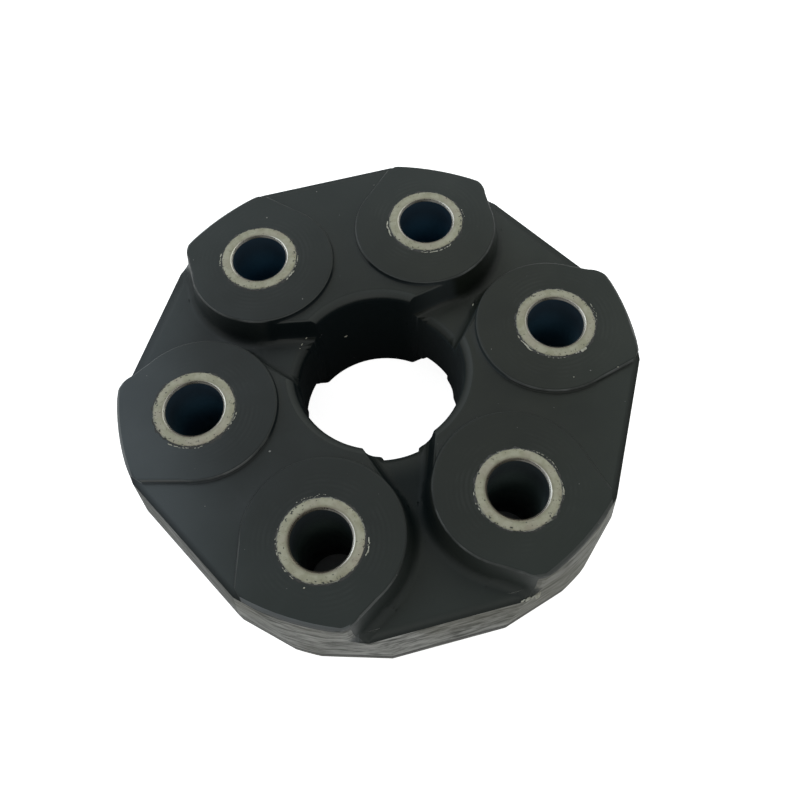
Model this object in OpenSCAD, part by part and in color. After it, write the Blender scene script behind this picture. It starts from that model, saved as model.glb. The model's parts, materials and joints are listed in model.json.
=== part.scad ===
// Driveshaft flex disc: a rubber coupling with six steel sleeves.
// Cord loops wound round neighbouring sleeves are moulded into the rubber.
// Three webs stand almost as high as the bosses and three are recessed.
// Millimetres, +Z along the shaft axis, origin at the centre of the disc.

/* [Bolt circle and sleeves] */
// Diameter of the circle that the six sleeves stand on
bolt_circle_d = 96; // [94:0.5:98]
// Outer diameter of a steel sleeve
sleeve_od = 20.5; // [19.5:0.1:21.5]
// Bore of a steel sleeve, a clearance hole for an M14 bolt
sleeve_bore = 14.8; // [14.2:0.1:15.4]
// Chamfer at both ends of the sleeve bore
bore_chamfer = 0.6; // [0.2:0.1:1]
// Chamfer round the outside of a sleeve end
sleeve_edge = 0.3; // [0.1:0.1:0.6]
// Length of a sleeve, which is the full thickness of the disc
disc_thk = 40; // [38:0.5:42]
// How far a sleeve end stands out of the rubber boss
sleeve_proud = 0.3; // [0.1:0.1:1]

/* [Rubber body] */
// Radius of the outer wall at the top edge of a boss
rim_r = 67.4; // [66.5:0.1:68.5]
// Height of the straight belt round the middle of the outer wall
belt_h = 6; // [3:0.5:8]
// Slope of the moulded walls against the axis
draft = 10; // [6:0.5:12]
// Distance of a high web's outer edge from the axis
high_web_d = 64.6; // [63.5:0.1:65.5]
// Slope of a high web's outer wall
high_web_draft = 7; // [4:0.5:9]
// Distance of a recessed web's outer edge from the axis
low_web_d = 65.6; // [64.5:0.1:66.5]
// Slope of a recessed web's outer wall
low_web_draft = 17; // [12:0.5:20]
// Radius of the centre hole
hole_r = 22; // [21:0.1:22.6]
// Rounding of the centre hole's edge
hole_round = 3; // [1.5:0.1:3.5]

/* [Bosses and webs] */
// Radius of a boss round its sleeve at the top
boss_r = 19.7; // [18.8:0.1:20.4]
// Shift of the boss outline from the sleeve towards the axis
boss_shift = 1.3; // [0.5:0.1:1.6]
// Step from the boss top down to a high web
high_step = 1.4; // [0.8:0.1:2]
// Step from the boss top down to a recessed web
low_step = 8.7; // [8:0.1:9.5]
// Angle of a boss side towards a high web, against the radius
high_side_a = 15; // [10:0.5:17]
// Angle of a boss side towards a recessed web, against the radius
low_side_a = 28; // [24:0.5:32]
// Rounding of a boss's top edge
edge_round = 0.7; // [0.3:0.1:1]
// Fillet where a boss wall meets a recessed web
foot_fillet = 2.5; // [1.5:0.1:3]
// Rounding of the outer corner of a boss beside a recessed web
corner_round = 6; // [4:0.1:7]

/* [Cord loops] */
// Outer radius of a cord loop round a sleeve
loop_r = 16; // [15:0.1:16.5]
// Height of the loop in a recessed web
low_loop_h = 14; // [12:0.5:15]
// Height of one of the two loops in a high web
high_loop_h = 7; // [6:0.25:7.5]
// Thickness of a collar between or outside the loops
collar_t = 1.5; // [1:0.1:1.8]
// Width of a collar beyond the cord loop
collar_lip = 0.4; // [0.2:0.1:0.8]

/* [Hidden] */
$fn = 72;
pcr = bolt_circle_d / 2;
sleeve_r = sleeve_od / 2;
half_h = disc_thk / 2;
boss_top = half_h - sleeve_proud;
high_top = boss_top - high_step;
low_top = boss_top - low_step;
belt_z = belt_h / 2;
belt_r = rim_r + (boss_top - belt_z) * tan(draft);
// The straight runs of a loop draw in this far towards each other
cord_pull = 0.5;
// The hollows for the loops run on inside the sleeves' holes down to this radius
hollow_bore = sleeve_r - 1;
// Play at each end of a loop in its hollow
hollow_play = 0.1;
// Levels of the stack round a sleeve, from the middle upwards
z_low_loop = low_loop_h / 2;
z_mid_collar = z_low_loop + collar_t;
z_high_loop = z_mid_collar + high_loop_h;
z_end_collar = z_high_loop + collar_t;
collar_r = loop_r + collar_lip;
// Where a high web's ledge leaves the boss and where it meets the hole
ledge_a = 140;
ledge_hole_a = 3.6;
reach = 100;
// Radius of the plane cut across the high webs, beyond their plans
plane_r = 1.4 * reach;
// Direction, slope and depth of the flats that ease the outer wall's corners
high_corner_a = 17.5;
high_corner_draft = 6;
high_corner_depth = 0.1;
low_corner_a = 16.5;
low_corner_draft = 8;
low_corner_depth = 0.4;
// Step between the levels at which neighbouring flats of the wall meet the belt
band_step = 0.1;
// Flats that make up an eased edge and a fillet
edge_flats = 3;
fillet_flats = 3;
// Cut over a boss's corner beside a high web
high_corner_cut = 1.3;
// A fillet runs on this far below the floor
sink = 0.03;
// Walls start at this level inside the rubber, lower by root_slope times their ease,
// and reach this far past their tops
root_z = low_top / 2;
root_slope = 5;
over = 0.2;
// Differences in ease between the walls of a boss
low_side_ease = 0.1;
high_side_ease = 0.15;
corner_ease = -0.1;
ledge_ease = 0.2;
// Straight sides and corners start this far inside the round part
side_inset = 0.06;
high_webs = [90, 210, 330];
low_webs = [30, 150, 270];

// Angle of sleeve k, counted from +X against the clock
function sleeve_a(k) = 60 * (k - 1);

// Places children at sleeve k
module at_sleeve(k) {
    rotate([0, 0, sleeve_a(k)])
        translate([pcr, 0, 0])
            children();
}

// Children and their mirror image below the middle plane
module both_faces() {
    children();
    mirror([0, 0, 1])
        children();
}

// Cross-section from x_in out to a drafted wall that stands at x_wall at its top. Its top edge
// is eased and a fillet runs out onto the floor below. It reaches past its top, for a plane cut
// across all of them. Walls that meet differ a little in ease, so that their edges cross cleanly.
module wall_section(top, x_in, x_wall, ease) {
    wh = top - low_top;
    er = edge_round + ease;
    ff = foot_fillet + ease;
    ec = [x_wall + er * tan(draft) - er / cos(draft), top - er];
    fc = [x_wall + (wh - ff) * tan(draft) + ff / cos(draft), low_top + ff - sink];
    span = 90 - draft;
    eased = [for (i = [0:edge_flats])
        let (t = 90 - i * span / edge_flats)
        ec + er * [cos(t), sin(t)]];
    rise = eased[0] - eased[1];
    root = root_z - root_slope * ease;
    polygon(concat(
        [[x_in, root], [x_in, top + over]],
        [eased[0] + rise * over / rise[1]],
        [for (i = [1:edge_flats]) eased[i]],
        [for (i = [0:fillet_flats])
            let (t = 180 + draft + i * span / fillet_flats)
            fc + ff * [cos(t), sin(t)]],
        [[fc[0] + 0.5, low_top - 0.5], [fc[0] + 0.5, root]]
    ));
}

// Round wall of radius r at its top, with its centre at the origin
module round_wall(r, ease = 0) {
    rotate_extrude($fn = 96)
        wall_section(boss_top, 0, r, ease);
}

// Straight wall that runs for a length along the angle run_a from point p.
// Its outer side looks to the left of that direction.
module straight_wall(p, run_a, length, top, inward, ease) {
    translate([p[0], p[1], 0])
        rotate([90, 0, run_a + 90])
            linear_extrude(height = length)
                wall_section(top, -inward, 0, ease);
}

// Straight side of a boss that closes in towards the outer wall
module boss_side(side_a, ease) {
    r = boss_r - side_inset;
    straight_wall(r * [sin(side_a), cos(side_a)], -side_a, 34, boss_top, boss_r, ease);
}

// Ledge of a high web that runs from the centre hole to the boss wall
module ledge() {
    cx = pcr - boss_shift;
    p = hole_r * [cos(ledge_hole_a), sin(ledge_hole_a)];
    q = [cx, 0] + boss_r * [cos(ledge_a), sin(ledge_a)];
    u = (q - p) / norm(q - p);
    straight_wall(p - 5 * u, atan2(u[1], u[0]), norm(q - p) + 8, high_top, 6, ledge_ease);
}

// Upper half of one boss, its recessed side towards +Y
module boss() {
    cr = corner_round;
    cx = pcr - boss_shift;
    n = [sin(low_side_a), cos(low_side_a)];
    // Centre of the rounded outer corner
    d = n[0] * cx + boss_r - cr + side_inset;
    rr = rim_r - cr + side_inset;
    s = sqrt(rr * rr - d * d);
    c = d * n + s * [n[1], -n[0]];
    // Half the angle that the corner turns through
    m_a = (atan2(c[1], c[0]) + 90 - low_side_a) / 2;
    half_a = 90 - low_side_a - m_a;
    m = [cos(m_a), sin(m_a)];
    // Corner on the high side, and the direction that its cut faces
    hn = [sin(high_side_a), -cos(high_side_a)];
    hd = hn[0] * cx + boss_r;
    h = hd * hn + sqrt(rim_r * rim_r - hd * hd) * [-hn[1], hn[0]];
    h_a = (atan2(h[1], h[0]) + high_side_a - 90) / 2;
    difference() {
        translate([cx, 0, 0]) {
            round_wall(boss_r);
            boss_side(low_side_a, low_side_ease);
            mirror([0, 1, 0])
                boss_side(high_side_a, high_side_ease);
        }
        rotate([0, 0, m_a])
            web_wall_cutter(c * m + cr * cos(half_a), boss_top, atan(tan(draft) * cos(half_a)));
        rotate([0, 0, h_a])
            web_wall_cutter(h * [cos(h_a), sin(h_a)] - high_corner_cut, boss_top, draft);
    }
    translate([c[0], c[1], 0])
        round_wall(cr, corner_ease);
}

// Plan of a high web along +X, inside the ledges and the bosses
module high_web_plan() {
    polygon([
        [0, 0],
        hole_r * [cos(31), -sin(31)],
        (pcr - 16) * [cos(35), -sin(35)],
        pcr * [cos(30), -sin(30)],
        reach * [cos(28), -sin(28)],
        reach * [cos(28), sin(28)],
        pcr * [cos(30), sin(30)],
        (pcr - 16) * [cos(35), sin(35)],
        hole_r * [cos(31), sin(31)]
    ]);
}

// Hole cutter whose rounded mouth opens at level z
module hole_cutter(z) {
    er = hole_round;
    rotate_extrude($fn = 96)
        difference() {
            union() {
                square([hole_r, reach]);
                translate([0, z - er])
                    square([hole_r + er, reach]);
            }
            translate([hole_r + er, z - er])
                circle(r = er, $fn = 48);
            translate([hole_r + er, -1])
                square([reach, z + 1]);
        }
}

// Outer form of the drafted wall
module outer_form() {
    rotate_extrude($fn = 180)
        polygon([
            [0, 0],
            [belt_r, 0],
            [belt_r, belt_z],
            [rim_r + edge_round * tan(draft), boss_top - edge_round],
            [rim_r - edge_round, boss_top],
            [0, boss_top]
        ]);
}

// Cutter that flattens the outer wall along +X at distance d from the axis.
// Its upright band ends at a drop below the belt's own edge.
module web_wall_cutter(d, z, slope, drop = 0) {
    kink = belt_z - drop;
    mid = d + (z - kink) * tan(slope);
    rotate([90, 0, 0])
        translate([0, 0, -reach / 2])
            linear_extrude(height = reach)
                polygon([
                    [mid, -1],
                    [mid, kink],
                    [d, z],
                    [d - (reach - z) * tan(slope), reach],
                    [reach, reach],
                    [reach, -1]
                ]);
}

// Cutter for a flat that eases a corner of the outer wall, this deep below the rim
module corner_cutter(depth, slope, drop) {
    web_wall_cutter(rim_r - depth, boss_top, slope, drop);
}

// Places children at both bosses of each high web, their recessed sides towards +Y
module at_bosses() {
    for (a = high_webs) {
        rotate([0, 0, a + 30])
            children();
        rotate([0, 0, a - 30])
            mirror([0, 1, 0])
                children();
    }
}

// High webs and their ledges, up to the level of their tops
module high_level() {
    intersection() {
        cylinder(h = high_top, r = plane_r);
        union() {
            for (a = high_webs)
                rotate([0, 0, a])
                    translate([0, 0, root_z + 1])
                        linear_extrude(height = high_top)
                            high_web_plan();
            at_bosses()
                ledge();
        }
    }
}

// Upper half of the rubber before the hidden pieces are taken out
module rubber_half() {
    difference() {
        intersection() {
            outer_form();
            union() {
                difference() {
                    cylinder(h = low_top, r = reach);
                    hole_cutter(low_top);
                }
                difference() {
                    union() {
                        high_level();
                        at_bosses()
                            boss();
                    }
                    hole_cutter(high_top);
                }
            }
        }
        for (a = high_webs)
            rotate([0, 0, a])
                web_wall_cutter(high_web_d, high_top, high_web_draft, band_step);
        for (a = low_webs)
            rotate([0, 0, a])
                web_wall_cutter(low_web_d, low_top, low_web_draft, 2 * band_step);
        // Eased corners between the webs' flats and the round wall
        for (s = [-1, 1]) {
            for (a = high_webs)
                rotate([0, 0, a + s * high_corner_a])
                    corner_cutter(high_corner_depth, high_corner_draft, 3 * band_step);
            for (a = low_webs)
                rotate([0, 0, a + s * low_corner_a])
                    corner_cutter(low_corner_depth, low_corner_draft, 4 * band_step);
        }
    }
}

// Plan of a cord loop round two sleeves, along +X, with holes of radius bore at the sleeves
module loop_plan(bore) {
    x = pcr * cos(30);
    y = pcr * sin(30);
    outer = loop_r - cord_pull;
    inner = sleeve_r - cord_pull;
    difference() {
        union() {
            for (s = [-1, 1])
                translate([x, s * y])
                    circle(r = loop_r);
            translate([x - outer, -y])
                square([2 * outer, 2 * y]);
        }
        for (s = [-1, 1])
            translate([x, s * y])
                circle(r = bore);
        translate([x - inner, -y])
            square([2 * inner, 2 * y]);
    }
}

// Cord loop along direction a between levels z0 and z1
module cord_loop(a, z0, z1, bore = sleeve_r) {
    rotate([0, 0, a])
        translate([0, 0, z0])
            linear_extrude(height = z1 - z0)
                loop_plan(bore);
}

// Hollow in the rubber for such a loop, a little taller than the loop
module loop_hollow(a, z0, z1) {
    cord_loop(a, z0 - hollow_play, z1 + hollow_play, hollow_bore);
}

// Collar on sleeve k between levels z0 and z1
module collar_ring(k, z0, z1) {
    at_sleeve(k)
        translate([0, 0, z0])
            difference() {
                cylinder(h = z1 - z0, r = collar_r);
                translate([0, 0, -1])
                    cylinder(h = z1 - z0 + 2, r = sleeve_r);
            }
}

module rubber_body() {
    color([0.13, 0.14, 0.145])
        difference() {
            both_faces()
                rubber_half();
            for (k = [1:6])
                at_sleeve(k) {
                    cylinder(h = disc_thk + 2, r = sleeve_r, center = true);
                    both_faces() {
                        translate([0, 0, z_low_loop])
                            cylinder(h = collar_t, r = collar_r);
                        translate([0, 0, z_high_loop])
                            cylinder(h = collar_t, r = collar_r);
                    }
                }
            for (a = low_webs)
                loop_hollow(a, -z_low_loop, z_low_loop);
            for (a = high_webs) {
                loop_hollow(a, z_mid_collar, z_high_loop);
                loop_hollow(a, -z_high_loop, -z_mid_collar);
            }
        }
}

module sleeve(k) {
    color([0.60, 0.58, 0.52])
        at_sleeve(k)
            rotate_extrude()
                polygon([
                    [sleeve_bore / 2, -half_h + bore_chamfer],
                    [sleeve_bore / 2 + bore_chamfer, -half_h],
                    [sleeve_r - sleeve_edge, -half_h],
                    [sleeve_r, -half_h + sleeve_edge],
                    [sleeve_r, half_h - sleeve_edge],
                    [sleeve_r - sleeve_edge, half_h],
                    [sleeve_bore / 2 + bore_chamfer, half_h],
                    [sleeve_bore / 2, half_h - bore_chamfer]
                ]);
}

module low_cord(i) {
    color([0.75, 0.70, 0.60])
        cord_loop(low_webs[i - 1], -z_low_loop, z_low_loop);
}

module upper_cord(i) {
    color([0.75, 0.70, 0.60])
        cord_loop(high_webs[i - 1], z_mid_collar, z_high_loop);
}

module lower_cord(i) {
    color([0.75, 0.70, 0.60])
        cord_loop(high_webs[i - 1], -z_high_loop, -z_mid_collar);
}

module top_collar(k) {
    color([0.45, 0.45, 0.44])
        collar_ring(k, z_high_loop, z_end_collar);
}

module upper_collar(k) {
    color([0.45, 0.45, 0.44])
        collar_ring(k, z_low_loop, z_mid_collar);
}

module lower_collar(k) {
    color([0.45, 0.45, 0.44])
        collar_ring(k, -z_mid_collar, -z_low_loop);
}

module bottom_collar(k) {
    color([0.45, 0.45, 0.44])
        collar_ring(k, -z_end_collar, -z_high_loop);
}

rubber_body();
sleeve(1);  // sleeve_1
sleeve(2);  // sleeve_2
sleeve(3);  // sleeve_3
sleeve(4);  // sleeve_4
sleeve(5);  // sleeve_5
sleeve(6);  // sleeve_6
low_cord(1);  // low_cord_1
low_cord(2);  // low_cord_2
low_cord(3);  // low_cord_3
upper_cord(1);  // upper_cord_1
upper_cord(2);  // upper_cord_2
upper_cord(3);  // upper_cord_3
lower_cord(1);  // lower_cord_1
lower_cord(2);  // lower_cord_2
lower_cord(3);  // lower_cord_3
top_collar(1);  // top_collar_1
top_collar(2);  // top_collar_2
top_collar(3);  // top_collar_3
top_collar(4);  // top_collar_4
top_collar(5);  // top_collar_5
top_collar(6);  // top_collar_6
upper_collar(1);  // upper_collar_1
upper_collar(2);  // upper_collar_2
upper_collar(3);  // upper_collar_3
upper_collar(4);  // upper_collar_4
upper_collar(5);  // upper_collar_5
upper_collar(6);  // upper_collar_6
lower_collar(1);  // lower_collar_1
lower_collar(2);  // lower_collar_2
lower_collar(3);  // lower_collar_3
lower_collar(4);  // lower_collar_4
lower_collar(5);  // lower_collar_5
lower_collar(6);  // lower_collar_6
bottom_collar(1);  // bottom_collar_1
bottom_collar(2);  // bottom_collar_2
bottom_collar(3);  // bottom_collar_3
bottom_collar(4);  // bottom_collar_4
bottom_collar(5);  // bottom_collar_5
bottom_collar(6);  // bottom_collar_6
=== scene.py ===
# %% [markdown]
# # Driveshaft flex disc
# A rubber disc about 14 cm across sits between two flanges of a driveshaft and takes up their
# misalignment. Six steel sleeves stand in the moulded rubber, and cord loops inside it carry the
# pull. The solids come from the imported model. This script gives them their surfaces: worn black
# rubber, zinc-coated sleeve ends, the ragged rubber flash round them, and a little dust.

# %% Load the solids
import json
import math
import random

import bpy
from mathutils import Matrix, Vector, noise

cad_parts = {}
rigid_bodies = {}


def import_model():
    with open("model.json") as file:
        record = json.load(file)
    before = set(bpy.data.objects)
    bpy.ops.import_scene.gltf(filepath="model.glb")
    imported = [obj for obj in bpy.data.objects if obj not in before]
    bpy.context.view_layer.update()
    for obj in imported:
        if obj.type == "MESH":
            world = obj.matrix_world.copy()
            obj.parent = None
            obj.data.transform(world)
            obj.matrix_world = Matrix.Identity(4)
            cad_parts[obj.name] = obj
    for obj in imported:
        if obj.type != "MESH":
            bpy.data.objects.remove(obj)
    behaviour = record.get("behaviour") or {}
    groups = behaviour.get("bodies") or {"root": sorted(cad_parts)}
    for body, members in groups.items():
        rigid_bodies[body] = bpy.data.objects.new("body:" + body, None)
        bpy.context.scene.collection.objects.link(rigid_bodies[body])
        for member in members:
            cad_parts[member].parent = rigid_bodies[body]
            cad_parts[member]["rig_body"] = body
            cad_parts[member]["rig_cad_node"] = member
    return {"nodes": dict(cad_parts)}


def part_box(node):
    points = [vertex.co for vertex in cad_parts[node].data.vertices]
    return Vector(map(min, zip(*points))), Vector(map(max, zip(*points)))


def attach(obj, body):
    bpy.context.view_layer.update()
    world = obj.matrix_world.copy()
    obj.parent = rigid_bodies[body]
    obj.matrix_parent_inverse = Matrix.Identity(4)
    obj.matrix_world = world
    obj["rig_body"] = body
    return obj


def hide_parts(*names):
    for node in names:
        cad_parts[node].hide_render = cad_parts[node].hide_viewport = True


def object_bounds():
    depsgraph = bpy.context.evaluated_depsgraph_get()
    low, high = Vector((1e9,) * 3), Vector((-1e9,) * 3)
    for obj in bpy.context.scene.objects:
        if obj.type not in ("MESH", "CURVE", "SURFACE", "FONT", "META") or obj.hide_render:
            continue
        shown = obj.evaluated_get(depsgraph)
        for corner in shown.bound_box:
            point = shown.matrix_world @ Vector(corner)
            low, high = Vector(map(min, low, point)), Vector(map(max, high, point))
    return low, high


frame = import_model()
nodes = frame["nodes"]
solid_low, solid_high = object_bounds()
print("solids:", len(nodes), "size in mm:", [round(v * 1000, 1) for v in solid_high - solid_low])

# %% [markdown]
# ## Measures
# The sleeves tell where everything is. Their boxes give the length and width of a sleeve and the
# place of its axis, so none of that has to be typed in twice. Only the bore and its broken edge
# can't be read from a box.

# %% Sizes taken from the solids
MM = 0.001

sleeve_axes = {}
for k in range(1, 7):
    low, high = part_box(f"sleeve_{k}")
    sleeve_axes[k] = Vector(((low.x + high.x) / 2, (low.y + high.y) / 2, 0))
sleeve_outer = (high.x - low.x) / 2
sleeve_top = high.z
sleeve_bore = 7.4 * MM
broken_edge = 0.6 * MM
rubber_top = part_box("rubber_body")[1].z
bolt_radius = sleeve_axes[1].length
print("sleeve radius:", round(sleeve_outer / MM, 2), "to its axis:", round(bolt_radius / MM, 2))

# %% [markdown]
# ## Node helpers
# A material here is a handful of nodes. These helpers add a node, link it, do one sum with it or
# turn a value into a mask, so that each finish below reads as a short list of what it does. A mask
# is a value from 0 to 1 that says how much of something a spot gets.


# %% Adding and linking nodes
def add(tree, kind, **values):
    """Add a node and set its properties."""
    node = tree.nodes.new(kind)
    for key, value in values.items():
        setattr(node, key, value)
    return node


def feed(tree, source, target):
    """Link an output to an input."""
    tree.links.new(source, target)


def calc(tree, operation, a, b=None, c=None, clamp=False):
    """A Math node. Each of a, b and c is a number or a socket."""
    node = add(tree, "ShaderNodeMath", operation=operation, use_clamp=clamp)
    for socket, value in zip(node.inputs, (a, b, c)):
        if isinstance(value, (int, float)):
            socket.default_value = value
        elif value is not None:
            feed(tree, value, socket)
    return node.outputs[0]


def times(tree, first, *others):
    """The product of several masks, which is high only where all of them are."""
    for other in others:
        first = calc(tree, "MULTIPLY", first, other)
    return first


def ramp(tree, value, low, high, out_low=0.0, out_high=1.0, smooth=True):
    """A mask that goes from out_low to out_high while the value goes from low to high."""
    node = add(tree, "ShaderNodeMapRange", clamp=True)
    node.interpolation_type = "SMOOTHSTEP" if smooth else "LINEAR"
    feed(tree, value, node.inputs["Value"])
    node.inputs["From Min"].default_value = low
    node.inputs["From Max"].default_value = high
    node.inputs["To Min"].default_value = out_low
    node.inputs["To Max"].default_value = out_high
    return node.outputs["Result"]


def parts_of(tree, vector):
    """The X, Y and Z of a position or a direction."""
    node = add(tree, "ShaderNodeSeparateXYZ")
    feed(tree, vector, node.inputs[0])
    return node.outputs


print("node helpers: add, feed, calc, times, ramp, parts_of")

# %% [markdown]
# ## Distance from the nearest sleeve
# Rub marks, torn rubber and tool rings all sit round the sleeves. One group folds the disc into a
# sixth of a turn and measures from the sleeve's axis there, so it serves all six at once. It also
# gives the distance from the disc's own axis and the height above its middle.


# %% The sleeve distance group
def new_group(name, inputs, outputs):
    """An empty node group with named sockets. Gives the group, its start and its end."""
    group = bpy.data.node_groups.new(name, "ShaderNodeTree")
    for socket, kind in inputs:
        group.interface.new_socket(socket, in_out="INPUT", socket_type=kind)
    for socket in outputs:
        group.interface.new_socket(socket, in_out="OUTPUT", socket_type="NodeSocketFloat")
    start = add(group, "NodeGroupInput").outputs
    end = add(group, "NodeGroupOutput").inputs
    return group, start, end


sleeve_ring, start, end = new_group(
    "sleeve_ring",
    [("Position", "NodeSocketVector")],
    ["Distance", "From centre", "Height"],
)
spot = parts_of(sleeve_ring, start["Position"])
turn = calc(sleeve_ring, "ARCTAN2", spot["Y"], spot["X"])
turn = calc(sleeve_ring, "WRAP", turn, math.radians(30), math.radians(-30))
flat_x = times(sleeve_ring, spot["X"], spot["X"])
flat_y = times(sleeve_ring, spot["Y"], spot["Y"])
from_centre = calc(sleeve_ring, "SQRT", calc(sleeve_ring, "ADD", flat_x, flat_y))
along = times(sleeve_ring, from_centre, calc(sleeve_ring, "COSINE", turn))
along = calc(sleeve_ring, "SUBTRACT", along, bolt_radius)
across = times(sleeve_ring, from_centre, calc(sleeve_ring, "SINE", turn))
along = times(sleeve_ring, along, along)
across = times(sleeve_ring, across, across)
distance = calc(sleeve_ring, "SQRT", calc(sleeve_ring, "ADD", along, across))
feed(sleeve_ring, distance, end["Distance"])
feed(sleeve_ring, from_centre, end["From centre"])
feed(sleeve_ring, calc(sleeve_ring, "ABSOLUTE", spot["Z"]), end["Height"])
print("group:", sleeve_ring.name)

# %% [markdown]
# ## Fine grain and dust
# Rubber and steel both carry a fine grain, and dust lies in specks on the rubber. The group gives
# a height for the bump, a broad tone that varies slowly, and a mask for the dust.


# %% The grain and dust group
def speckle(tree, vector, scale, detail=4.0, roughness=0.55, distortion=0.0):
    """A noise pattern with so many blots to the metre."""
    node = add(tree, "ShaderNodeTexNoise")
    node.inputs["Scale"].default_value = scale
    node.inputs["Detail"].default_value = detail
    node.inputs["Roughness"].default_value = roughness
    node.inputs["Distortion"].default_value = distortion
    feed(tree, vector, node.inputs["Vector"])
    return node.outputs["Fac"]


grain, start, end = new_group(
    "grain_and_dust",
    [
        ("Position", "NodeSocketVector"),
        ("Grain scale", "NodeSocketFloat"),
        ("Dust amount", "NodeSocketFloat"),
    ],
    ["Height", "Tone", "Dust"],
)
fine = add(grain, "ShaderNodeTexNoise")
fine.inputs["Detail"].default_value = 5.0
feed(grain, start["Position"], fine.inputs["Vector"])
feed(grain, start["Grain scale"], fine.inputs["Scale"])
broad = speckle(grain, start["Position"], 60.0, 3.0)
specks = speckle(grain, start["Position"], 900.0, 1.0, 0.4)
patches = speckle(grain, start["Position"], 45.0, 2.0)
limit = calc(grain, "SUBTRACT", 0.84, times(grain, start["Dust amount"], 0.1))
limit = calc(grain, "SUBTRACT", limit, times(grain, patches, 0.04))
dust = calc(grain, "MULTIPLY", calc(grain, "SUBTRACT", specks, limit), 30.0, clamp=True)
feed(grain, fine.outputs["Fac"], end["Height"])
feed(grain, broad, end["Tone"])
feed(grain, dust, end["Dust"])
print("group:", grain.name)

# %% [markdown]
# ## Worn black rubber
# Moulded rubber is near black with a soft sheen. Its colour is painted a little bluer on the left
# and greener on the right, as the lamps tint it, its raised rims are rubbed pale in part and carry
# a painted highlight, and faint rings round the sleeves show where washers and hands have turned
# on it. The outer wall is different: it has been scuffed to a streaky grey.
# All of this follows the position on the piece, so it stays put when the piece is seen from
# elsewhere.


# %% Start the rubber material
def new_material(name):
    """A material with only its shader and output in place."""
    material = bpy.data.materials.new(name)
    material.use_nodes = True
    tree = material.node_tree
    tree.nodes.clear()
    out = add(tree, "ShaderNodeOutputMaterial")
    shader = add(tree, "ShaderNodeBsdfPrincipled")
    feed(tree, shader.outputs["BSDF"], out.inputs["Surface"])
    return material, tree, shader


def place_on(tree):
    """The position on the piece."""
    return add(tree, "ShaderNodeTexCoord").outputs["Object"]


def use_group(tree, group, position, **values):
    """Put a group into a material with its own values. Gives its outputs."""
    node = add(tree, "ShaderNodeGroup")
    node.node_tree = group
    feed(tree, position, node.inputs["Position"])
    for key, value in values.items():
        node.inputs[key].default_value = value
    return node.outputs


rubber, tree, shader = new_material("worn_rubber")
where = place_on(tree)
facing = add(tree, "ShaderNodeNewGeometry").outputs["True Normal"]
ring = use_group(tree, sleeve_ring, where)
surface = use_group(tree, grain, where, **{"Grain scale": 1500.0, "Dust amount": 0.1})
normal = parts_of(tree, facing)
level = calc(tree, "ABSOLUTE", normal["Z"])
place = parts_of(tree, where)
print("material:", rubber.name)

# %% [markdown]
# The top is nearly black with broad soft blots. It is painted bluer towards the left and greener
# towards the right, as the lamps tint it, and painted paler with sheen towards the outer wall, on
# the left and at the far side, as in the photograph.


# %% The rubber's top
def blend_colour(tree, mask, first, second):
    """Mix two colours by a mask. Each is a colour or a socket."""
    node = add(tree, "ShaderNodeMix", data_type="RGBA")
    feed(tree, mask, node.inputs[0])
    for socket, value in ((node.inputs[6], first), (node.inputs[7], second)):
        if isinstance(value, tuple):
            socket.default_value = (*value, 1.0)
        else:
            feed(tree, value, socket)
    return node.outputs[2]


# Painted light: the black is tinted bluer on the left and greener on the right.
blue_lit_black = (0.0085, 0.0118, 0.0132)
green_lit_black = (0.0062, 0.0086, 0.0062)
side = ramp(tree, place["X"], -75 * MM, 30 * MM)
base = blend_colour(tree, side, blue_lit_black, green_lit_black)
mottle = ramp(tree, surface["Tone"], 0.3, 0.7)
base = blend_colour(tree, times(tree, mottle, 0.4), base, (0.0115, 0.0132, 0.0124))
# Painted sheen: paler towards the outer wall, on the left and at the far side.
outer_sheen = ramp(tree, ring["From centre"], 40 * MM, 70 * MM, 0.0, 0.55)
base = blend_colour(tree, outer_sheen, base, (0.022, 0.028, 0.0255))
left_light = ramp(tree, place["X"], -38 * MM, -66 * MM, 0.0, 0.9)
base = blend_colour(tree, left_light, base, (0.050, 0.059, 0.065))
far_sheen = ramp(tree, place["Y"], 20 * MM, 60 * MM, 0.0, 0.35)
base = blend_colour(tree, far_sheen, base, (0.024, 0.031, 0.033))
print("top:", len(tree.nodes), "nodes so far")

# %% [markdown]
# Faint turning rings lie round each sleeve, broken up by noise. The rims of the bosses are rubbed
# pale in patches and carry a painted highlight, strongest on the sides that look to the near left.


# %% Turning rings, and rubbed rims with a painted highlight
def stretch(tree, vector, scale):
    """Scale a position, so that a pattern is finer along some axes."""
    node = add(tree, "ShaderNodeMapping")
    node.inputs["Scale"].default_value = scale
    feed(tree, vector, node.inputs["Vector"])
    return node.outputs["Vector"]


ring_waves = 5200.0  # radians to the metre, which makes a ring every 1.2 mm
rub_noise = speckle(tree, stretch(tree, where, (1.0, 1.0, 0.2)), 140.0, 5.0, 0.6)
rings = calc(tree, "SINE", times(tree, ring["Distance"], ring_waves))
rings = times(tree, calc(tree, "ADD", rings, 1.0), 0.5)
near_sleeve = ramp(tree, ring["Distance"], 20 * MM, 11 * MM)
on_top = ramp(tree, level, 0.97, 0.995)
rub = times(tree, near_sleeve, on_top, rings, ramp(tree, rub_noise, 0.4, 0.65))
base = blend_colour(tree, times(tree, rub, 0.16), base, (0.05, 0.055, 0.053))

rim_band = ramp(tree, ring["Height"], rubber_top - 1.0 * MM, rubber_top - 0.6 * MM)
rim_slope = times(tree, ramp(tree, level, 0.22, 0.35), ramp(tree, level, 0.97, 0.9))
rim_patch = ramp(tree, speckle(tree, where, 110.0, 3.0), 0.36, 0.6, 0.2, 1.0)
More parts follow.
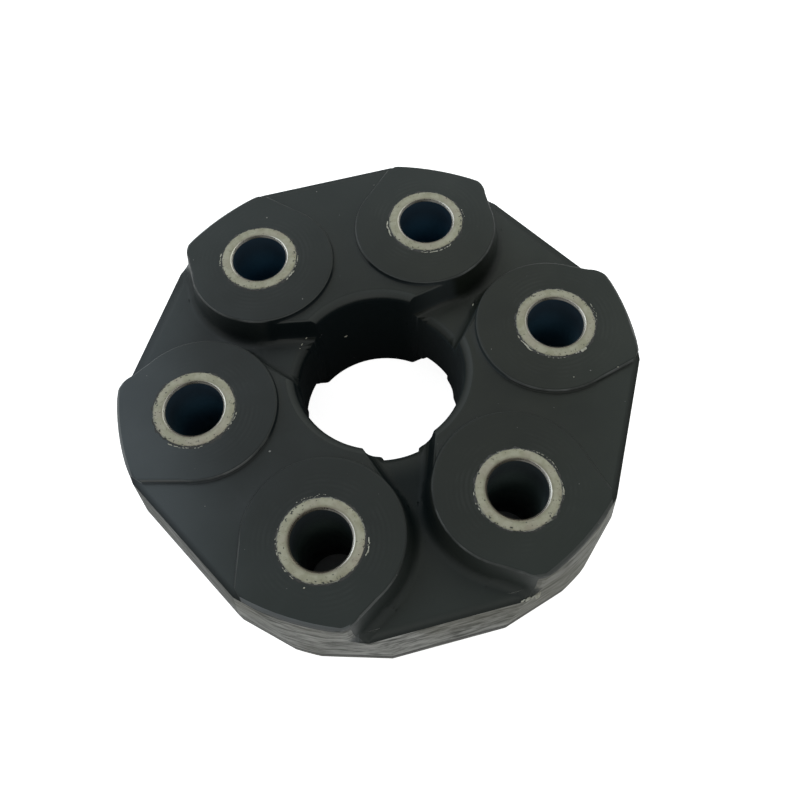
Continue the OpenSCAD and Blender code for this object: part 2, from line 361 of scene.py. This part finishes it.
# Painted highlight: rims that look to the near left are made paler, as if lit.
to_near_left = times(tree, normal["Y"], -0.8)
to_near_left = calc(tree, "MULTIPLY_ADD", normal["X"], -0.6, to_near_left)
rim_lit_side = ramp(tree, to_near_left, -0.15, 0.15, 0.12, 1.0)
rim_wear_and_highlight = times(tree, rim_band, rim_slope, rim_patch, rim_lit_side)
base = blend_colour(tree, times(tree, rim_wear_and_highlight, 0.8), base, (0.095, 0.1, 0.098))
print("rings and rims:", len(tree.nodes), "nodes so far")

# %% [markdown]
# The outer edges of the webs are rubbed as well and carry a painted highlight, palest on the left.
# The mouth of the hole is painted with a lighter sheen. How far a face looks away from the disc's
# axis tells these edges from the feet of the bosses, which are tilted too.

# %% Rubbed outer edges with a painted highlight, and painted sheen at the hole mouth
spoke = add(tree, "ShaderNodeVectorMath", operation="MULTIPLY")
spoke.inputs[1].default_value = (1, 1, 0)
feed(tree, where, spoke.inputs[0])
spoke_unit = add(tree, "ShaderNodeVectorMath", operation="NORMALIZE")
feed(tree, spoke.outputs[0], spoke_unit.inputs[0])
looks_out = add(tree, "ShaderNodeVectorMath", operation="DOT_PRODUCT")
feed(tree, spoke_unit.outputs[0], looks_out.inputs[0])
feed(tree, facing, looks_out.inputs[1])
outward = looks_out.outputs["Value"]

tilted = times(tree, ramp(tree, level, 0.15, 0.3), ramp(tree, level, 0.992, 0.97))
steepness = calc(tree, "SQRT", calc(tree, "SUBTRACT", 1.001, times(tree, level, level)))
outward_share = calc(tree, "DIVIDE", outward, steepness)
worn_lit_edge = times(
    tree,
    tilted,
    ramp(tree, ring["From centre"], 50 * MM, 54 * MM),
    ramp(tree, outward_share, 0.72, 0.85),
)
# Painted highlight on the web's outer edges, brightest on the left.
edge_highlight_colour = blend_colour(tree, side, (0.15, 0.16, 0.165), (0.046, 0.05, 0.047))
base = blend_colour(tree, times(tree, worn_lit_edge, 0.85), base, edge_highlight_colour)

# Painted sheen: the mouth of the hole is lighter, less so at the low webs.
mouth_sheen = times(
    tree,
    times(tree, ramp(tree, level, 0.5, 0.6), ramp(tree, level, 0.995, 0.95)),
    ramp(tree, ring["From centre"], 43 * MM, 40 * MM),
    ramp(tree, outward, -0.1, -0.3),
    ramp(tree, ring["Height"], 13 * MM, 15 * MM, 0.25, 1.0),
)
base = blend_colour(tree, times(tree, mouth_sheen, 0.8), base, (0.030, 0.034, 0.032))
print("edges:", len(tree.nodes), "nodes so far")

# %% [markdown]
# The hole and the narrow neck between the two near bosses are painted in shade: black and hardly
# glossy. Only the right side of the hole is painted a little lighter, as if it caught some light.

# %% Painted shade in the hole and neck
# Painted shade: the hole and the neck are darkened, the hole's right side a little less.
hole_shade = times(
    tree,
    ramp(tree, ring["From centre"], 34.5 * MM, 32 * MM),
    ramp(tree, level, 0.6, 0.45),
)
lit_hole_right = ramp(tree, place["X"], 10 * MM, 22 * MM)
neck_shade = times(
    tree,
    ramp(tree, ring["From centre"], 50 * MM, 38 * MM),
    ramp(tree, ring["Height"], rubber_top - 1.5 * MM, rubber_top - 3.5 * MM),
    ramp(tree, place["Y"], -22 * MM, -30 * MM),
)
painted_shade_dull = calc(tree, "MAXIMUM", hole_shade, times(tree, neck_shade, 0.9))
painted_shade_colour = blend_colour(tree, lit_hole_right, (0.0042, 0.0070, 0.0076), (0.026, 0.032, 0.033))
base = blend_colour(tree, painted_shade_dull, base, painted_shade_colour)
print("hole and neck:", len(tree.nodes), "nodes so far")

# %% [markdown]
# The outer wall has been dragged and scuffed to grey. The streaks run round the disc, so their
# pattern is squeezed along the axis. Only surfaces that look outwards carry them, and they start
# a little below the edge of a boss. Round the middle, where the mould parts and the wall turns
# under, it is painted dark as shade.

# %% The scuffed outer wall
wall_mask = times(
    tree,
    ramp(tree, ring["From centre"], 59.5 * MM, 62 * MM),
    ramp(tree, outward, 0.78, 0.89),
    ramp(tree, ring["Height"], rubber_top - 0.9 * MM, rubber_top - 1.6 * MM),
)
wall_noise = speckle(tree, stretch(tree, where, (1.0, 1.0, 5.0)), 210.0, 6.0, 0.66, 0.3)
wall_streak = speckle(tree, stretch(tree, where, (1.0, 1.0, 7.0)), 120.0, 5.0, 0.62)
wall_blot = speckle(tree, where, 38.0, 2.0)
scuff = calc(tree, "ADD", times(tree, wall_noise, 0.45), times(tree, wall_streak, 0.55))
streaks = ramp(tree, scuff, 0.37, 0.63)
scuff_colour = blend_colour(tree, streaks, (0.11, 0.113, 0.104), (0.52, 0.52, 0.495))
blotched = ramp(tree, wall_blot, 0.40, 0.62, 0.0, 0.55)
scuff_colour = blend_colour(tree, blotched, scuff_colour, (0.16, 0.157, 0.125))
# Painted shade round the middle of the wall, where it turns under.
belt_shade = ramp(tree, ring["Height"], 2.4 * MM, 0.8 * MM, 0.0, 0.85)
scuff_colour = blend_colour(tree, belt_shade, scuff_colour, (0.03, 0.031, 0.028))
scuffed = times(
    tree,
    wall_mask,
    ramp(tree, scuff, 0.28, 0.45, 0.55, 1.0),
    ramp(tree, normal["X"], -0.84, -0.70, 0.6, 1.0),
)
base = blend_colour(tree, scuffed, base, scuff_colour)
print("wall:", len(tree.nodes), "nodes so far")

# %% [markdown]
# Last come the dust, the sheen and the relief. Worn rubber has little shine and its black parts
# have hardly any, so the specular level is low. The scuffed wall is rougher, and its streaks are
# in relief.


# %% Dust, sheen and relief
def use_bump(tree, shader, height, distance, strength):
    """Turn a height into the shader's normal."""
    bump = add(tree, "ShaderNodeBump")
    bump.inputs["Strength"].default_value = strength
    bump.inputs["Distance"].default_value = distance
    feed(tree, height, bump.inputs["Height"])
    feed(tree, bump.outputs["Normal"], shader.inputs["Normal"])


base = blend_colour(tree, surface["Dust"], base, (0.22, 0.22, 0.21))
feed(tree, base, shader.inputs["Base Color"])
roughness = ramp(tree, surface["Tone"], 0.3, 0.7, 0.46, 0.56)
roughness = calc(tree, "ADD", roughness, times(tree, wall_mask, 0.25), clamp=True)
feed(tree, roughness, shader.inputs["Roughness"])
sheen = ramp(tree, painted_shade_dull, 0.0, 1.0, 0.2, 0.08, smooth=False)
feed(tree, sheen, shader.inputs["Specular IOR Level"])
relief = calc(tree, "ADD", times(tree, surface["Height"], 0.35), surface["Tone"])
relief = calc(tree, "ADD", relief, times(tree, scuff, wall_mask, 1.2))
use_bump(tree, shader, relief, 0.12 * MM, 0.6)
print("material:", rubber.name, len(tree.nodes), "nodes")

# %% [markdown]
# ## Zinc-coated steel
# The sleeve ends are flat and dull, a warm grey with small blots, because the coating is thin and
# was handled. A darker band next to the bore is painted shade, deeper on the near side.

# %% The zinc on the sleeve ends
steel, tree, shader = new_material("zinc_sleeve")
where = place_on(tree)
ring = use_group(tree, sleeve_ring, where)
surface = use_group(tree, grain, where, **{"Grain scale": 2600.0})
place = parts_of(tree, where)
blots = speckle(tree, where, 420.0, 4.0, 0.6)
patchy = ramp(tree, blots, 0.35, 0.65)
zinc = blend_colour(tree, patchy, (0.27, 0.261, 0.186), (0.365, 0.352, 0.270))
warm = ramp(tree, speckle(tree, where, 150.0, 2.0), 0.45, 0.7, 0.0, 0.5)
zinc = blend_colour(tree, warm, zinc, (0.32, 0.275, 0.23))
stain = ramp(tree, speckle(tree, where, 900.0, 3.0, 0.7), 0.60, 0.70, 0.0, 0.6)
zinc = blend_colour(tree, stain, zinc, (0.12, 0.115, 0.085))
# Painted shade: a darker band round the bore's broken edge.
shaded_band = ramp(tree, ring["Distance"], sleeve_bore + 1.25 * MM, sleeve_bore + 0.7 * MM)
band_shade = ramp(tree, place["Y"], -20 * MM, 20 * MM, 0.42, 0.2)
zinc = blend_colour(tree, times(tree, shaded_band, band_shade), zinc, (0.10, 0.092, 0.06))
print("material:", steel.name)

# %% [markdown]
# Towards its outer edge the coating is chipped and black rubber smears show. A broad noise makes
# some places more chipped than others. The bore is another finish: a bluish dark oxide, darkened
# further with painted shade towards its mouths than in the middle, painted a little lighter on the
# right in the near sleeves, and bluest in the sleeves at the far side.

# %% Chipped rim, and dark bore with painted shade
chip_noise = speckle(tree, where, 1150.0, 3.0, 0.65)
chip_zone = ramp(tree, ring["Distance"], sleeve_outer - 1.3 * MM, sleeve_outer - 0.1 * MM)
chip_place = ramp(tree, speckle(tree, where, 95.0, 2.0), 0.42, 0.62)
chip = calc(tree, "ADD", chip_noise, times(tree, chip_zone, 0.07))
chip = calc(tree, "ADD", chip, times(tree, chip_place, 0.06))
zinc = blend_colour(tree, ramp(tree, chip, 0.68, 0.72), zinc, (0.022, 0.024, 0.02))

in_bore = times(
    tree,
    ramp(tree, ring["Distance"], sleeve_bore + 0.12 * MM, sleeve_bore + 0.04 * MM),
    ramp(tree, ring["Height"], sleeve_top - 0.55 * MM, sleeve_top - 0.65 * MM),
)
# Painted shade in the bore: darker towards its mouths, lighter on the right.
far_side = ramp(tree, place["Y"], -30 * MM, 20 * MM)
lit_right_side = ramp(tree, place["X"], 0.0, 30 * MM)
near_bore = blend_colour(tree, lit_right_side, (0.07, 0.095, 0.088), (0.11, 0.145, 0.14))
bore_colour = blend_colour(tree, far_side, near_bore, (0.045, 0.125, 0.20))
mouth_shade = ramp(tree, ring["Height"], 5 * MM, 16 * MM, 0.0, 0.8)
bore_colour = blend_colour(tree, mouth_shade, bore_colour, (0.016, 0.018, 0.024))
colour = blend_colour(tree, in_bore, zinc, bore_colour)
print("chips and bore:", len(tree.nodes), "nodes so far")

# %% [markdown]
# Where the bore's edge is broken, the bare metal shines. A painted glint lies on the parts that
# look to the left, and at the far side of the disc also on those that look to the right. At the far
# side the bare edge is painted lighter as well.

# %% Bright broken edge with a painted glint
edge_end = sleeve_bore + broken_edge
edge = ramp(tree, ring["Distance"], edge_end + 0.08 * MM, edge_end - 0.02 * MM)
bare = times(tree, edge, calc(tree, "SUBTRACT", 1.0, in_bore))
normal = parts_of(tree, add(tree, "ShaderNodeNewGeometry").outputs["True Normal"])
# Painted glint: the bare edge is lighter where it looks left, and at the far side also right.
looks_left = ramp(tree, normal["X"], -0.1, -0.5)
looks_right = ramp(tree, normal["X"], 0.1, 0.5)
painted_glint = calc(tree, "MAXIMUM", looks_left, times(tree, looks_right, far_side))
bare_colour = blend_colour(tree, far_side, (0.12, 0.108, 0.083), (0.17, 0.16, 0.13))
bare_colour = blend_colour(tree, painted_glint, bare_colour, (0.58, 0.56, 0.51))
colour = blend_colour(tree, bare, colour, bare_colour)
feed(tree, colour, shader.inputs["Base Color"])
feed(tree, ramp(tree, bare, 0.0, 1.0, 0.1, 0.6), shader.inputs["Metallic"])
roughness = ramp(tree, blots, 0.3, 0.7, 0.42, 0.58)
roughness = calc(tree, "SUBTRACT", roughness, times(tree, bare, 0.2))
feed(tree, roughness, shader.inputs["Roughness"])
feed(tree, ramp(tree, in_bore, 0.0, 1.0, 0.3, 0.1), shader.inputs["Specular IOR Level"])
use_bump(tree, shader, surface["Height"], 0.03 * MM, 0.5)
print("material:", steel.name, len(tree.nodes), "nodes")

# %% [markdown]
# ## Torn rubber
# Where rubber has crept over a sleeve's edge in the mould and torn off again, it is dry and a
# little paler, most of all close to the steel.

# %% The torn rubber material
torn, tree, shader = new_material("torn_rubber")
where = place_on(tree)
ring = use_group(tree, sleeve_ring, where)
frayed = speckle(tree, where, 700.0, 4.0, 0.7)
fray_place = speckle(tree, where, 120.0, 2.0)
close_in = ramp(tree, ring["Distance"], sleeve_outer + 0.3 * MM, sleeve_outer + 0.1 * MM)
pale = calc(tree, "ADD", frayed, times(tree, fray_place, 0.35))
pale = calc(tree, "ADD", pale, times(tree, close_in, 0.16))
pale = ramp(tree, pale, 0.80, 0.88)
torn_colour = blend_colour(tree, pale, (0.008, 0.009, 0.008), (0.26, 0.26, 0.22))
feed(tree, torn_colour, shader.inputs["Base Color"])
feed(tree, ramp(tree, frayed, 0.3, 0.7, 0.55, 0.8), shader.inputs["Roughness"])
use_bump(tree, shader, frayed, 0.1 * MM, 0.7)
print("material:", torn.name)

# %% [markdown]
# The crumbs that broke off, of rubber and of zinc, are nearly white and chalky.

# %% The crumb material
crumb, tree, shader = new_material("pale_crumb")
chalk = speckle(tree, place_on(tree), 1500.0, 3.0)
chalky = ramp(tree, chalk, 0.35, 0.65)
crumb_colour = blend_colour(tree, chalky, (0.36, 0.35, 0.28), (0.52, 0.51, 0.44))
feed(tree, crumb_colour, shader.inputs["Base Color"])
feed(tree, ramp(tree, chalk, 0.3, 0.7, 0.6, 0.8), shader.inputs["Roughness"])
print("material:", crumb.name)

# %% [markdown]
# ## Hidden pieces
# The cord loops and collars lie inside the rubber. They still get their own finish, because the
# part can be taken apart on a screen. A loop is wound from cord with its threads side by side, so
# its colour and its relief follow one wave along the height.

# %% The cord material
thread_pitch = 0.9 * MM
cord, tree, shader = new_material("wound_cord")
where = place_on(tree)
height = parts_of(tree, where)["Z"]
threads = calc(tree, "SINE", times(tree, height, 2 * math.pi / thread_pitch))
threads = calc(tree, "ABSOLUTE", threads)
fuzz = speckle(tree, where, 900.0, 4.0)
fibre = blend_colour(tree, threads, (0.16, 0.13, 0.09), (0.52, 0.46, 0.34))
fibre = blend_colour(tree, ramp(tree, fuzz, 0.4, 0.7, 0.0, 0.5), fibre, (0.35, 0.30, 0.22))
feed(tree, fibre, shader.inputs["Base Color"])
feed(tree, ramp(tree, fuzz, 0.3, 0.7, 0.7, 0.9), shader.inputs["Roughness"])
use_bump(tree, shader, threads, 0.25 * MM, 0.8)
print("material:", cord.name)

# %% [markdown]
# The collars are plain steel rings. They keep the meshes of their solids, and so do the cords, so
# only their materials are set.

# %% The collar material, and both finishes put on
collar_steel, tree, shader = new_material("collar_steel")
where = place_on(tree)
surface = use_group(tree, grain, where, **{"Grain scale": 1800.0})
blots = ramp(tree, speckle(tree, where, 300.0, 4.0), 0.35, 0.65)
collar_colour = blend_colour(tree, blots, (0.30, 0.30, 0.31), (0.42, 0.41, 0.40))
feed(tree, collar_colour, shader.inputs["Base Color"])
feed(tree, ramp(tree, surface["Tone"], 0.3, 0.7, 0.35, 0.5), shader.inputs["Roughness"])
shader.inputs["Metallic"].default_value = 0.9
use_bump(tree, shader, surface["Height"], 0.03 * MM, 0.5)

for kind, finish in (("cord", cord), ("collar", collar_steel)):
    hidden = [node for name, node in nodes.items() if kind in name]
    for node in hidden:
        node.data.materials.clear()
        node.data.materials.append(finish)
    print(f"hidden pieces with {finish.name}:", len(hidden))

# %% [markdown]
# ## Shape helpers
# Blender's operators act on whatever is selected, and loading leaves the solids selected. So each
# step starts from an empty selection. A finished piece rides on the one body of the model.


# %% Selecting and finishing a piece
def pick(piece):
    """Make one piece the only selected and active one."""
    bpy.ops.object.select_all(action="DESELECT")
    piece.select_set(True)
    bpy.context.view_layer.objects.active = piece


def object_mode():
    bpy.ops.object.mode_set(mode="OBJECT")


def edit_mode(kind):
    """Enter edit mode for points or edges, with nothing selected."""
    bpy.ops.object.mode_set(mode="EDIT")
    bpy.ops.mesh.select_mode(type=kind)
    bpy.ops.mesh.select_all(action="DESELECT")


def select_where(piece, test):
    """Select the points whose place passes the test, and the edges and faces between them."""
    object_mode()
    chosen = [test(v.co) for v in piece.data.vertices]
    for v, wanted in zip(piece.data.vertices, chosen):
        v.select = wanted
    for e in piece.data.edges:
        e.select = chosen[e.vertices[0]] and chosen[e.vertices[1]]
    for f in piece.data.polygons:
        f.select = all(chosen[i] for i in f.vertices)
    bpy.ops.object.mode_set(mode="EDIT")


def finish_piece(piece, name, material):
    """Put a piece's place into its mesh, name it and let it ride on the disc."""
    pick(piece)
    bpy.ops.object.transform_apply(location=True, rotation=True, scale=True)
    piece.name = name
    piece.data.name = name
    piece.data.materials.clear()
    piece.data.materials.append(material)
    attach(piece, "root")


print("shape helpers: pick, object_mode, edit_mode, select_where, finish_piece")

# %% [markdown]
# ## The rubber body
# The solid's mesh is loose triangles, so light breaks on every facet. A copy is joined up along
# its edges, smoothed where faces meet at a shallow angle, and its normals are weighted by face
# area. The big flat faces then stay flat and the narrow ones round the edges and fillets turn
# softly. At the inner ends of the low webs the fillets of two bosses meet in slivers, which are
# too small to see but catch the light, so the points there are merged from further off.

# %% Join and smooth the rubber
join_gap = 0.002 * MM
neck_gap = 0.15 * MM
pick(nodes["rubber_body"])
bpy.ops.object.duplicate()
rubber_skin = bpy.context.object
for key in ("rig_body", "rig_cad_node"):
    del rubber_skin[key]
rubber_skin.parent = None
pick(rubber_skin)
edit_mode("VERT")
bpy.ops.mesh.select_all(action="SELECT")
bpy.ops.mesh.remove_doubles(threshold=join_gap)
select_where(
    rubber_skin,
    lambda p: 34.8 * MM < math.hypot(p.x, p.y) < 36.6 * MM and 10.9 * MM < abs(p.z) < 12.1 * MM,
)
bpy.ops.mesh.remove_doubles(threshold=neck_gap)
object_mode()
bpy.ops.object.shade_smooth_by_angle(angle=math.radians(34))
weights = rubber_skin.modifiers.new("weights", "WEIGHTED_NORMAL")
weights.mode = "FACE_AREA"
weights.weight = 60
weights.keep_sharp = True
bpy.ops.object.modifier_apply(modifier=weights.name)
finish_piece(rubber_skin, "rubber_skin", rubber)
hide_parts("rubber_body")
print("rubber:", len(rubber_skin.data.polygons), "faces")

# %% [markdown]
# ## Turned sleeves
# A sleeve is cut from tube and its ends are faced on a lathe. It starts as an open cylinder, gets
# its wall from Solidify, and then its inner edges take a wide bevel and its outer ones a small one.


# %% Turn one sleeve
def turn_sleeve():
    """One sleeve on the disc's axis, with both ends chamfered inside and eased outside."""
    bpy.ops.object.select_all(action="DESELECT")
    bpy.ops.mesh.primitive_cylinder_add(
        vertices=160, radius=sleeve_outer, depth=2 * sleeve_top, end_fill_type="NOTHING"
    )
    tube = bpy.context.object
    wall = tube.modifiers.new("wall", "SOLIDIFY")
    wall.thickness = sleeve_outer - sleeve_bore
    wall.offset = -1
    bpy.ops.object.modifier_apply(modifier=wall.name)
    middle = (sleeve_outer + sleeve_bore) / 2
    end_height = sleeve_top - 0.01 * MM
    edit_mode("EDGE")
    select_where(tube, lambda p: abs(p.z) > end_height and math.hypot(p.x, p.y) < middle)
    bpy.ops.mesh.bevel(offset=broken_edge, offset_type="OFFSET", segments=2)
    select_where(tube, lambda p: abs(p.z) > end_height and math.hypot(p.x, p.y) > middle + 1 * MM)
    bpy.ops.mesh.bevel(offset=0.12 * MM, offset_type="OFFSET", segments=2)
    object_mode()
    bpy.ops.object.shade_smooth_by_angle(angle=math.radians(30))
    return tube


pattern = turn_sleeve()
print("sleeve:", len(pattern.data.polygons), "faces")

# %% [markdown]
# The one sleeve is copied to each of the six axes, each copy with a mesh of its own, and the
# pattern is taken away.

# %% Copy the sleeve
for k, axis in sleeve_axes.items():
    pick(pattern)
    bpy.ops.object.duplicate()
    sleeve = bpy.context.object
    sleeve.location = axis
    finish_piece(sleeve, f"turned_sleeve_{k}", steel)
    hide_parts(f"sleeve_{k}")
bpy.data.objects.remove(pattern)
print("sleeves:", len(sleeve_axes))

# %% [markdown]
# ## Torn flash round the sleeves
# In the mould a skin of rubber creeps over each sleeve's edge. It tears off and leaves a ragged lip
# that stands round the steel. A lip is a thin ring: a circle, pulled outwards and down three times.
# Then its points are moved a little by a noise pattern, a different one at each sleeve.


# %% Make the lips
def flash_lip(name, axis, roughness, seed):
    """A ragged lip round the sleeve at this axis."""
    bpy.ops.object.select_all(action="DESELECT")
    bpy.ops.mesh.primitive_circle_add(
        vertices=220, radius=sleeve_outer + 0.02 * MM, location=(0, 0, rubber_top + 0.16 * MM)
    )
    lip = bpy.context.object
    bpy.ops.object.transform_apply(location=True)
    bpy.ops.object.mode_set(mode="EDIT")
    bpy.ops.mesh.select_all(action="SELECT")
    for out, down in ((1.022, -0.02), (1.022, -0.12), (1.01, -0.12)):
        bpy.ops.mesh.extrude_region_move(TRANSFORM_OT_translate={"value": (0, 0, down * MM)})
        bpy.ops.transform.resize(value=(out, out, 1), center_override=(0, 0, 0))
    object_mode()
    for v in lip.data.vertices:
        turn = math.atan2(v.co.y, v.co.x)
        coarse = Vector((6 * math.cos(turn), 6 * math.sin(turn), seed))
        fine = Vector((22 * math.cos(turn), 22 * math.sin(turn), seed + v.co.z * 900))
        wave = noise.noise(coarse) + 0.7 * noise.noise(fine)
        step = math.hypot(v.co.x, v.co.y) - sleeve_outer
        stretch_out = 1 + roughness * wave * step / sleeve_outer
        v.co.x *= stretch_out
        v.co.y *= stretch_out
        if v.co.z > rubber_top:
            v.co.z = rubber_top + max(0.02 * MM, (v.co.z - rubber_top) * (1 + 0.8 * wave))
    bpy.ops.object.shade_smooth_by_angle(angle=math.radians(50))
    lip.location = axis
    finish_piece(lip, name, torn)


near_sleeve_number = 5  # its lip is the smoothest one
for k, axis in sleeve_axes.items():
    flash_lip(f"flash_lip_{k}", axis, 0.6 if k == near_sleeve_number else 1.0, 10.0 * k)
print("lips:", len(sleeve_axes))

# %% [markdown]
# ## Crumbs
# A few pale crumbs lie on the bosses and webs, on the worn edge in front and in the hole. A tag of
# zinc lies on the right sleeve's edge. More crumbs lie in short arcs round the sleeves, where the
# torn rubber and the chipped zinc shed them.

# %% Where the crumbs lie
web_low = 11.0 * MM
# x and y in mm, height in metres, size in mm, length over width, direction in degrees
crumb_places = [
    (13.42, -60.67, web_low, 0.26, 1.0, 0),
    (1.38, -41.28, web_low, 0.24, 1.0, 0),
    (58.83, -16.8, rubber_top, 0.2, 1.0, 0),
    (47.07, -16.57, rubber_top, 0.18, 1.0, 0),
    (-30.03, -51.48, rubber_top, 0.26, 1.0, 0),
    (30.81, 16.32, web_low, 0.3, 1.4, 60),
    (-5.5, 21.3, 2.1 * MM, 0.4, 1.3, 15),
    (18.30, -65.33, web_low, 0.36, 1.8, 20),
    (19.58, -65.19, web_low, 0.5, 2.0, 25),
    (20.85, -65.04, web_low, 0.42, 1.8, 35),
    (22.13, -64.90, web_low, 0.55, 2.0, 45),
    (-16.5, 17.6, web_low + 1.0 * MM, 0.2, 2.4, 48),
    (-18.1, 16.45, web_low + 0.12 * MM, 0.18, 2.2, 45),
    (-18.9, 15.4, web_low, 0.12, 1.5, 60),
    (51.7, -9.75, rubber_top, 0.75, 1.5, 15),
    (50.4, -10.1, rubber_top, 0.5, 1.6, 10),
    (52.6, -9.5, rubber_top, 0.45, 1.3, 25),
]
# sleeve, from and to in degrees, distance from its axis and size in mm, how many
fleck_arcs = [
    (1, -172, -140, 10.75, 0.2, 12),
    (1, -135, -96, 10.6, 0.13, 9),
    (1, -5, 18, 11.1, 0.11, 7),
    (2, 165, 192, 10.95, 0.2, 10),
    (2, -112, -62, 10.8, 0.15, 12),
    (2, -8, 8, 11.0, 0.12, 4),
    (3, -56, -40, 10.75, 0.24, 7),
    (3, -34, -8, 10.75, 0.14, 7),
    (3, 158, 178, 10.95, 0.17, 8),
    (4, -134, -88, 10.8, 0.15, 12),
    (4, -50, -20, 10.75, 0.16, 8),
    (5, 150, 232, 10.7, 0.16, 18),
    (5, -34, -12, 11.2, 0.17, 9),
    (5, 70, 110, 11.1, 0.09, 10),
    (6, -22, -2, 10.7, 0.19, 7),
    (6, 12, 52, 10.95, 0.11, 12),
    (6, 168, 196, 10.65, 0.15, 6),
]
dice = random.Random(5)
for k, first, last, distance, size, count in fleck_arcs:
    for step in range(count):
        degrees = first + (last - first) * (step + dice.uniform(0.1, 0.9)) / count
        away = distance + dice.uniform(-0.16, 0.16)
        turn = math.radians(degrees)
        spot = sleeve_axes[k] / MM + Vector((away * math.cos(turn), away * math.sin(turn), 0))
        bulk = size * dice.uniform(0.7, 1.3)
        length = dice.uniform(1.2, 3.0)
        crumb_places.append((spot.x, spot.y, rubber_top, bulk, length, degrees + 90))
print("crumb places:", len(crumb_places))

# %% [markdown]
# Each crumb is a small ball, flattened, drawn out along its direction and dented by noise. It is
# thin enough to stay below the tops of the sleeves. All of them are joined into one piece.

# %% Scatter the crumbs
thickest = 0.15
crumbs = []
for x, y, z, size, length, direction in crumb_places:
    thickness = min(0.42 * size, thickest)
    bpy.ops.mesh.primitive_ico_sphere_add(
        subdivisions=2, radius=size * MM, location=(x * MM, y * MM, z + 0.4 * thickness * MM)
    )
    ball = bpy.context.object
    ball.scale = (length, dice.uniform(0.5, 0.9), thickness / size)
    ball.rotation_euler.z = math.radians(direction)
    for v in ball.data.vertices:
        v.co *= 1 + 0.35 * noise.noise(v.co / MM * 3 + Vector((x, y, 0)))
    crumbs.append(ball)
bpy.ops.object.select_all(action="DESELECT")
for ball in crumbs:
    ball.select_set(True)
bpy.context.view_layer.objects.active = crumbs[0]
bpy.ops.object.join()
finish_piece(bpy.context.object, "crumbs", crumb)
print("crumbs:", len(crumb_places))

# %% [markdown]
# ## The floor
# The disc lies on a pale floor. Light Path tells which ray looks at it: the camera sees it as
# plain white, and so do shiny surfaces that mirror the open floor. Under the sleeves' bores, where
# no light comes, the camera sees the floor's real shade. The matt part underneath takes the
# object's shadow.

# %% Make the floor
bpy.ops.object.select_all(action="DESELECT")
bpy.ops.mesh.primitive_plane_add(size=6, location=(0, 0, solid_low.z))
floor = bpy.context.object
floor.name = "floor"
floor_paint = bpy.data.materials.new("floor_paint")
floor_paint.use_nodes = True
tree = floor_paint.node_tree
tree.nodes.clear()
ring = use_group(tree, sleeve_ring, place_on(tree))
rays = add(tree, "ShaderNodeLightPath").outputs
open_floor = ramp(tree, ring["Distance"], 9 * MM, 9.5 * MM)
clear_floor = ramp(tree, ring["From centre"], 72 * MM, 76 * MM)
by_camera = times(tree, rays["Is Camera Ray"], open_floor)
glossy, clear = rays["Is Glossy Ray"], rays["Is Transmission Ray"]
by_mirror = times(tree, calc(tree, "ADD", glossy, clear, clamp=True), clear_floor)
seen = calc(tree, "ADD", by_camera, by_mirror, clamp=True)
matt = add(tree, "ShaderNodeBsdfDiffuse")
shade = blend_colour(tree, seen, (0.42, 0.42, 0.42), (0.8, 0.8, 0.8))
feed(tree, shade, matt.inputs["Color"])
plain = add(tree, "ShaderNodeEmission")
plain.inputs["Color"].default_value = (1, 1, 1, 1)
feed(tree, times(tree, seen, 0.93), plain.inputs["Strength"])
both = add(tree, "ShaderNodeAddShader")
feed(tree, matt.outputs[0], both.inputs[0])
feed(tree, plain.outputs[0], both.inputs[1])
out = add(tree, "ShaderNodeOutputMaterial")
feed(tree, both.outputs[0], out.inputs["Surface"])
floor.data.materials.append(floor_paint)
print("floor height in mm:", round(floor.location.z / MM, 2))

# %% [markdown]
# ## The camera
# It stands where the photographer stood, close by and above, which makes the near side look
# larger. Its place, turn and lens were fitted to the sleeve ends in the photograph.

# %% Place the camera
camera_place = (-14.589, -97.579, 197.724)
camera_turn = (26.2755, 1.5334, -14.4829)
bpy.ops.object.camera_add(
    location=[v * MM for v in camera_place],
    rotation=[math.radians(a) for a in camera_turn],
)
camera = bpy.context.object
camera.data.lens = 35.465
camera.data.sensor_width = 36
camera.data.clip_start = 0.01
bpy.context.scene.camera = camera
print("camera:", round(camera.location.length / MM), "mm from the disc's middle")

# %% [markdown]
# ## The light
# The world lights the disc dimly from all round. The camera, and rays that are mirrored or pass
# through glass, see it as plain white. Three soft lamps do the rest: a bluish one at the far left,
# a greenish one at the far right, and a warm one on the near side.


# %% The world and the lamps
def soft_lamp(name, place, size, watts, colour):
    """A square lamp that looks at the disc."""
    bpy.ops.object.light_add(type="AREA", location=place)
    lamp = bpy.context.object
    lamp.name = name
    lamp.data.size = size
    lamp.data.energy = watts
    lamp.data.color = colour
    lamp.rotation_euler = (-Vector(place)).to_track_quat("-Z", "Y").to_euler()


world = bpy.data.worlds.new("studio")
bpy.context.scene.world = world
world.use_nodes = True
tree = world.node_tree
tree.nodes.clear()
out = add(tree, "ShaderNodeOutputWorld")
sky = add(tree, "ShaderNodeBackground")
rays = add(tree, "ShaderNodeLightPath").outputs
mirrored = calc(tree, "ADD", rays["Is Glossy Ray"], rays["Is Transmission Ray"])
seen = calc(tree, "ADD", rays["Is Camera Ray"], mirrored, clamp=True)
feed(tree, blend_colour(tree, seen, (0.93, 0.97, 1.0), (1.0, 1.0, 1.0)), sky.inputs["Color"])
feed(tree, ramp(tree, seen, 0.0, 1.0, 0.25, 1.0, smooth=False), sky.inputs["Strength"])
feed(tree, sky.outputs[0], out.inputs["Surface"])

soft_lamp("window", (-0.45, 0.55, 0.9), 0.7, 3.9, (0.82, 0.93, 1.0))
soft_lamp("lamp", (0.45, 0.55, 0.9), 0.7, 2.5, (0.93, 1.0, 0.87))
soft_lamp("room", (0.0, -0.8, 0.6), 0.6, 2.0, (1.0, 0.98, 0.93))
bpy.context.scene.view_settings.view_transform = "Standard"
